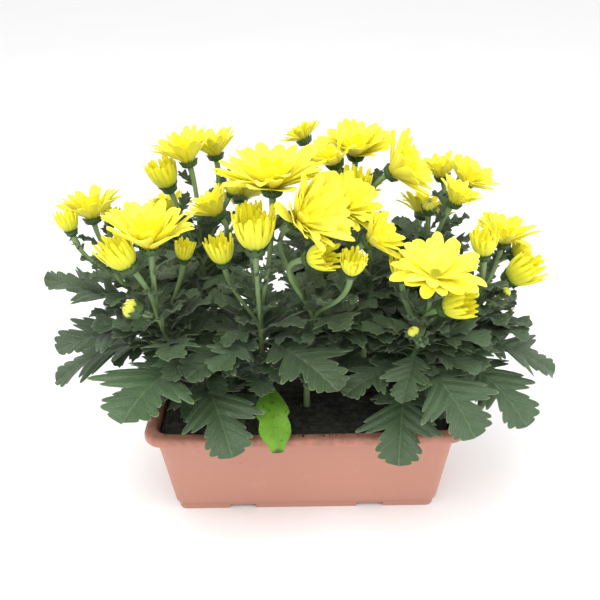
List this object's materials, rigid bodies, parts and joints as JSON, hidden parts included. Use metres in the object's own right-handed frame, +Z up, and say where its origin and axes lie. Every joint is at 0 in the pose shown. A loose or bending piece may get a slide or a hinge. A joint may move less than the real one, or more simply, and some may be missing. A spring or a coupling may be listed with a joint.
{
  "type": "pot chrysanthemum",
  "caption": "Flowering pot chrysanthemum with yellow daisy-type blooms on leafy stems, growing in a long plastic trough that stands on a flat surface.",
  "frame": {"origin": "middle of the trough's foot, on the surface it stands on", "axes": "+Z up, +X along the trough's long side, -Y towards its front"},
  "size_m": [0.4539, 0.2744, 0.3798],
  "materials": {
    "terracotta_plastic": "moulded plastic with a soft sheen, lightly scuffed",
    "peat_soil": "moist crumbly peat, fully matt",
    "green_leaf": "living leaf and stem, satin with pale veins",
    "yellow_petal": "velvety living petal",
    "bud_petal": "closed living bud, yellow shading into green"
  },
  "bodies": {
    "root": {"planter_trough": "terracotta_plastic", "potting_soil": "peat_soil", "shoot_01": "green_leaf", "shoot_02": "green_leaf", "shoot_03": "green_leaf", "shoot_04": "green_leaf", "shoot_05": "green_leaf", "shoot_06": "green_leaf", "shoot_07": "green_leaf", "shoot_08": "green_leaf", "shoot_09": "green_leaf", "shoot_10": "green_leaf", "shoot_11": "green_leaf", "shoot_12": "green_leaf", "bloom_01": "yellow_petal", "bloom_02": "yellow_petal", "bloom_03": "yellow_petal", "bloom_04": "yellow_petal", "bloom_05": "yellow_petal", "bloom_06": "yellow_petal", "bloom_07": "yellow_petal", "bloom_08": "yellow_petal", "bloom_09": "yellow_petal", "bloom_10": "yellow_petal", "bloom_11": "yellow_petal", "bloom_12": "yellow_petal", "bloom_13": "yellow_petal", "bloom_14": "yellow_petal", "bloom_15": "yellow_petal", "bloom_16": "yellow_petal", "bloom_17": "yellow_petal", "bloom_18": "yellow_petal", "bloom_19": "yellow_petal", "bloom_20": "yellow_petal", "bloom_21": "yellow_petal", "bloom_22": "yellow_petal", "bloom_23": "yellow_petal", "half_open_01": "yellow_petal", "half_open_02": "yellow_petal", "half_open_03": "yellow_petal", "half_open_04": "yellow_petal", "half_open_05": "yellow_petal", "half_open_06": "yellow_petal", "half_open_07": "yellow_petal", "half_open_08": "yellow_petal", "half_open_09": "yellow_petal", "half_open_10": "yellow_petal", "half_open_11": "yellow_petal", "half_open_12": "yellow_petal", "half_open_13": "yellow_petal", "half_open_14": "yellow_petal", "half_open_15": "yellow_petal", "half_open_16": "yellow_petal", "bud_01": "bud_petal", "bud_02": "bud_petal", "bud_03": "bud_petal", "bud_04": "bud_petal", "bud_05": "bud_petal", "bud_06": "bud_petal"}
  },
  "joints": []
}
